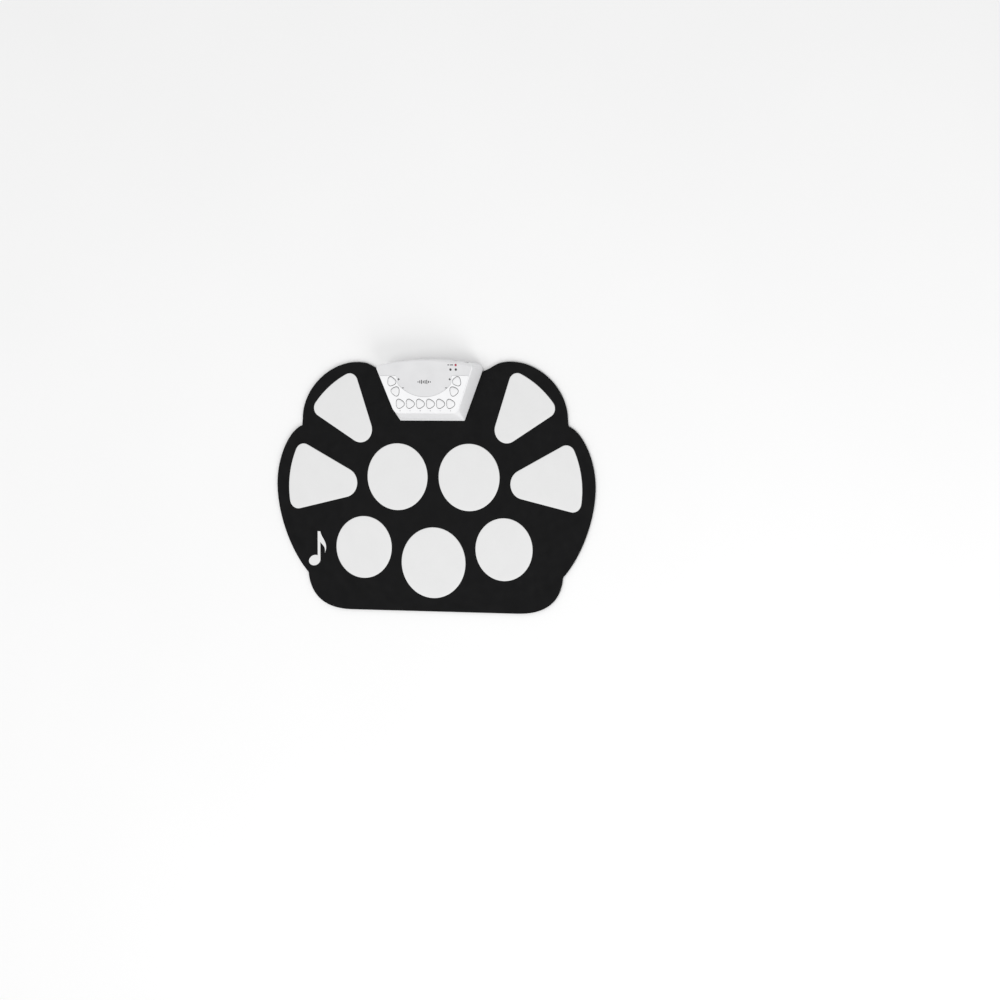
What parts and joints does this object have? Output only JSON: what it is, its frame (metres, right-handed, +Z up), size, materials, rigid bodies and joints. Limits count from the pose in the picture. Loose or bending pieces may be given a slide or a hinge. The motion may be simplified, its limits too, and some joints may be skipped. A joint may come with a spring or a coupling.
{
  "type": "roll-up electronic drum pad",
  "caption": "Roll-up electronic drum pad: black silicone mat with round and wedge-shaped white pads and a small keyed sound module at its far edge.",
  "frame": {"origin": "on the table, under the middle of the whole drum pad", "axes": "+X to the player's right, +Y away from the player towards the sound module, +Z up"},
  "size_m": [0.452, 0.324, 0.0301],
  "materials": {
    "mat_silicone": "soft matt black silicone",
    "pad_white": "smooth white silicone inlay",
    "sensor_film": "thin brass disc",
    "shell_plastic": "fine moulded white",
    "bezel_plastic": "smooth white",
    "label_grey": "light grey label sheet",
    "key_plastic": "smooth white",
    "membrane_rubber": "grey silicone",
    "circuit_board": "green solder mask",
    "black_plastic": "moulded black",
    "plated_steel": "nickel plated",
    "led_red": "clear red resin",
    "led_dark": "unlit resin",
    "ribbon_film": "amber film",
    "cell_wrap": "printed sleeve",
    "foot_rubber": "matt"
  },
  "bodies": {
    "head": {"mat_head": "mat_silicone", "upper_cymbal_pad_left": "pad_white", "upper_cymbal_pad_right": "pad_white", "sensors_upper": "sensor_film", "top_shell": "shell_plastic", "bottom_shell": "shell_plastic", "key_bezel": "bezel_plastic", "label_panel": "label_grey", "keypad_membrane": "membrane_rubber", "key_board": "circuit_board", "key_board_screws": "plated_steel", "board_header": "black_plastic", "main_board": "circuit_board", "board_chips": "black_plastic", "power_led": "led_red", "status_leds": "led_dark", "pedal_jack_left": "black_plastic", "pedal_jack_right": "black_plastic", "phones_jack": "black_plastic", "aux_jack": "black_plastic", "usb_socket": "plated_steel", "ribbon_tail": "ribbon_film", "ribbon_connector": "black_plastic", "battery_cells": "cell_wrap", "battery_contacts": "plated_steel", "case_screws": "plated_steel", "rubber_feet": "foot_rubber"},
    "strip_1": {"mat_strip_1": "mat_silicone", "pads_strip_1": "pad_white"},
    "strip_2": {"mat_strip_2": "mat_silicone", "pads_strip_2": "pad_white", "sensors_row_1": "sensor_film"},
    "strip_3": {"mat_strip_3": "mat_silicone", "pads_strip_3": "pad_white"},
    "strip_4": {"mat_strip_4": "mat_silicone", "pads_strip_4": "pad_white"},
    "strip_5": {"mat_strip_5": "mat_silicone", "pads_strip_5": "pad_white", "sensors_row_2": "sensor_film"},
    "strip_6": {"mat_strip_6": "mat_silicone", "pads_strip_6": "pad_white", "sensor_centre": "sensor_film"},
    "strip_7": {"mat_strip_7": "mat_silicone", "pads_strip_7": "pad_white"},
    "strip_8": {"mat_strip_8": "mat_silicone"},
    "volume_up_key": {"volume_up_key": "key_plastic"},
    "volume_down_key": {"volume_down_key": "key_plastic"},
    "tempo_up_key": {"tempo_up_key": "key_plastic"},
    "tempo_down_key": {"tempo_down_key": "key_plastic"},
    "function_key_1": {"function_key_1": "key_plastic"},
    "function_key_2": {"function_key_2": "key_plastic"},
    "function_key_3": {"function_key_3": "key_plastic"},
    "function_key_4": {"function_key_4": "key_plastic"},
    "function_key_5": {"function_key_5": "key_plastic"},
    "function_key_6": {"function_key_6": "key_plastic"},
    "battery_door": {"battery_door": "shell_plastic"}
  },
  "joints": [
    {"name": "roll_1", "type": "hinge", "parent": "head", "child": "strip_1", "pos_m": [0, 0.054, 0.0035], "axis": [-1, 0, 0], "range_deg": [0, 38]},
    {"name": "roll_2", "type": "hinge", "parent": "strip_1", "child": "strip_2", "pos_m": [0, 0.024, 0.0035], "axis": [-1, 0, 0], "range_deg": [0, 44]},
    {"name": "roll_3", "type": "hinge", "parent": "strip_2", "child": "strip_3", "pos_m": [0, -0.006, 0.0035], "axis": [-1, 0, 0], "range_deg": [0, 50]},
    {"name": "roll_4", "type": "hinge", "parent": "strip_3", "child": "strip_4", "pos_m": [0, -0.0365, 0.0035], "axis": [-1, 0, 0], "range_deg": [0, 56]},
    {"name": "roll_5", "type": "hinge", "parent": "strip_4", "child": "strip_5", "pos_m": [0, -0.0635, 0.0035], "axis": [-1, 0, 0], "range_deg": [0, 62]},
    {"name": "roll_6", "type": "hinge", "parent": "strip_5", "child": "strip_6", "pos_m": [0, -0.09, 0.0035], "axis": [-1, 0, 0], "range_deg": [0, 68]},
    {"name": "roll_7", "type": "hinge", "parent": "strip_6", "child": "strip_7", "pos_m": [0, -0.1165, 0.0035], "axis": [-1, 0, 0], "range_deg": [0, 74]},
    {"name": "roll_8", "type": "hinge", "parent": "strip_7", "child": "strip_8", "pos_m": [0, -0.145, 0.0035], "axis": [-1, 0, 0], "range_deg": [0, 80]},
    {"name": "volume_up_press", "type": "slide", "parent": "head", "child": "volume_up_key", "axis": [0, 0.0872, -0.9962], "range_m": [0, 0.0008], "stiffness_N_per_m": 500},
    {"name": "volume_down_press", "type": "slide", "parent": "head", "child": "volume_down_key", "axis": [0, 0.0872, -0.9962], "range_m": [0, 0.0008], "stiffness_N_per_m": 500},
    {"name": "tempo_up_press", "type": "slide", "parent": "head", "child": "tempo_up_key", "axis": [0, 0.0872, -0.9962], "range_m": [0, 0.0008], "stiffness_N_per_m": 500},
    {"name": "tempo_down_press", "type": "slide", "parent": "head", "child": "tempo_down_key", "axis": [0, 0.0872, -0.9962], "range_m": [0, 0.0008], "stiffness_N_per_m": 500},
    {"name": "function_press_1", "type": "slide", "parent": "head", "child": "function_key_1", "axis": [0, 0.0872, -0.9962], "range_m": [0, 0.0008], "stiffness_N_per_m": 500},
    {"name": "function_press_2", "type": "slide", "parent": "head", "child": "function_key_2", "axis": [0, 0.0872, -0.9962], "range_m": [0, 0.0008], "stiffness_N_per_m": 500},
    {"name": "function_press_3", "type": "slide", "parent": "head", "child": "function_key_3", "axis": [0, 0.0872, -0.9962], "range_m": [0, 0.0008], "stiffness_N_per_m": 500},
    {"name": "function_press_4", "type": "slide", "parent": "head", "child": "function_key_4", "axis": [0, 0.0872, -0.9962], "range_m": [0, 0.0008], "stiffness_N_per_m": 500},
    {"name": "function_press_5", "type": "slide", "parent": "head", "child": "function_key_5", "axis": [0, 0.0872, -0.9962], "range_m": [0, 0.0008], "stiffness_N_per_m": 500},
    {"name": "function_press_6", "type": "slide", "parent": "head", "child": "function_key_6", "axis": [0, 0.0872, -0.9962], "range_m": [0, 0.0008], "stiffness_N_per_m": 500},
    {"name": "battery_door_slide", "type": "slide", "parent": "head", "child": "battery_door", "axis": [0, 1, 0], "range_m": [0, 0.04]}
  ],
  "couplings": [
    {"joint": "roll_2", "follows": "roll_1", "ratio": 1.1578},
    {"joint": "roll_3", "follows": "roll_1", "ratio": 1.3157},
    {"joint": "roll_4", "follows": "roll_1", "ratio": 1.4736},
    {"joint": "roll_5", "follows": "roll_1", "ratio": 1.6315},
    {"joint": "roll_6", "follows": "roll_1", "ratio": 1.7894},
    {"joint": "roll_7", "follows": "roll_1", "ratio": 1.9473},
    {"joint": "roll_8", "follows": "roll_1", "ratio": 2.1052}
  ]
}
